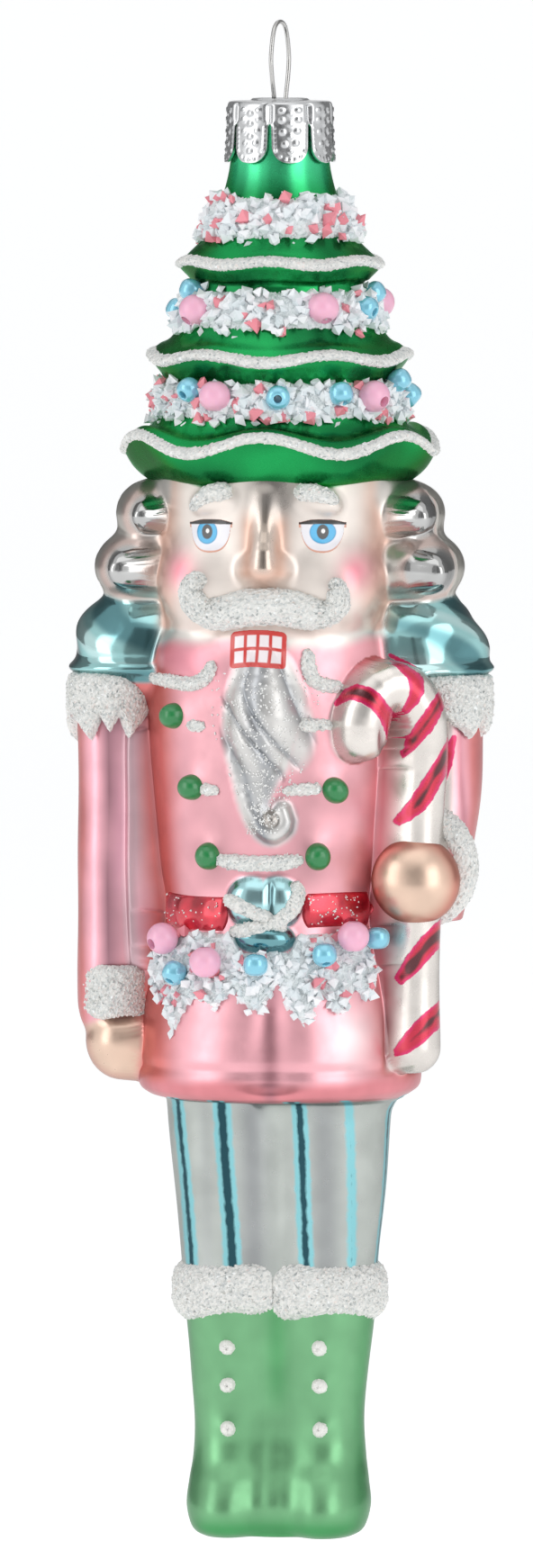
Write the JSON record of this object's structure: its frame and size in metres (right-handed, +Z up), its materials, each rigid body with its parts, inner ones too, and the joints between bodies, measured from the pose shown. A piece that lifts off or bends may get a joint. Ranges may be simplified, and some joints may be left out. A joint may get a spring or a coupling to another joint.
{
  "type": "nutcracker ornament",
  "caption": "Hanging blown-glass nutcracker soldier with a tiered hat, candy cane, glitter and bead trims, metal cap and wire hanger loop.",
  "frame": {"origin": "the hanging point: the middle of the wire loop's inner top, where a hook or twig carries the ornament", "axes": "+Z up along the hanging line, -Y the way the face looks, +X to the viewer's right, on the candy cane's side"},
  "size_m": [0.0544, 0.0387, 0.1899],
  "materials": {
    "silvered_glass": "gloss",
    "plated_steel": "satin",
    "spring_wire": "satin",
    "crushed_glass": "matte",
    "white_glitter": "matte",
    "pink_bead": "gloss",
    "blue_bead": "gloss",
    "green_enamel": "gloss",
    "white_enamel": "gloss"
  },
  "bodies": {
    "hanger": {"hanger_wire": "spring_wire"},
    "cap": {"hanger_cap": "plated_steel"},
    "figure": {"glass_body": "silvered_glass", "hat_snow_low": "crushed_glass", "hat_snow_middle": "crushed_glass", "hat_snow_top": "crushed_glass", "hat_line_low": "white_glitter", "hat_line_middle": "white_glitter", "hat_line_top": "white_glitter", "brow_left": "white_glitter", "brow_right": "white_glitter", "moustache": "white_glitter", "shoulder_fur_left": "white_glitter", "shoulder_fur_right": "white_glitter", "cuff_fur_left": "white_glitter", "cuff_fur_right": "white_glitter", "boot_fur_left": "white_glitter", "boot_fur_right": "white_glitter", "belt_fringe": "crushed_glass", "buckle_glitter": "white_glitter", "piping_shoulder_left": "white_glitter", "piping_shoulder_right": "white_glitter", "piping_row_1_left": "white_glitter", "piping_row_1_right": "white_glitter", "piping_row_2_left": "white_glitter", "piping_row_2_right": "white_glitter", "piping_row_3": "white_glitter", "bead_low_2": "pink_bead", "bead_low_5": "pink_bead", "bead_middle_3": "pink_bead", "bead_middle_4": "pink_bead", "bead_middle_7": "pink_bead", "bead_belt_1": "pink_bead", "bead_belt_3": "pink_bead", "bead_belt_6": "pink_bead", "bead_low_1": "blue_bead", "bead_low_3": "blue_bead", "bead_low_4": "blue_bead", "bead_low_6": "blue_bead", "bead_low_7": "blue_bead", "bead_middle_1": "blue_bead", "bead_middle_2": "blue_bead", "bead_middle_5": "blue_bead", "bead_middle_6": "blue_bead", "bead_belt_2": "blue_bead", "bead_belt_4": "blue_bead", "bead_belt_5": "blue_bead", "bead_belt_7": "blue_bead", "coat_button_1": "green_enamel", "coat_button_2": "green_enamel", "coat_button_3": "green_enamel", "coat_button_4": "green_enamel", "coat_button_5": "green_enamel", "boot_button_left_1": "white_enamel", "boot_button_left_2": "white_enamel", "boot_button_left_3": "white_enamel", "boot_button_right_1": "white_enamel", "boot_button_right_2": "white_enamel", "boot_button_right_3": "white_enamel"}
  },
  "joints": [
    {"name": "hanger_turn", "type": "hinge", "parent": "hanger", "child": "cap", "pos_m": [0, 0, -0.0096], "axis": [0, 0, 1], "continuous": true},
    {"name": "cap_pull", "type": "slide", "parent": "cap", "child": "figure", "axis": [0, 0, -1], "range_m": [0, 0.024]}
  ]
}
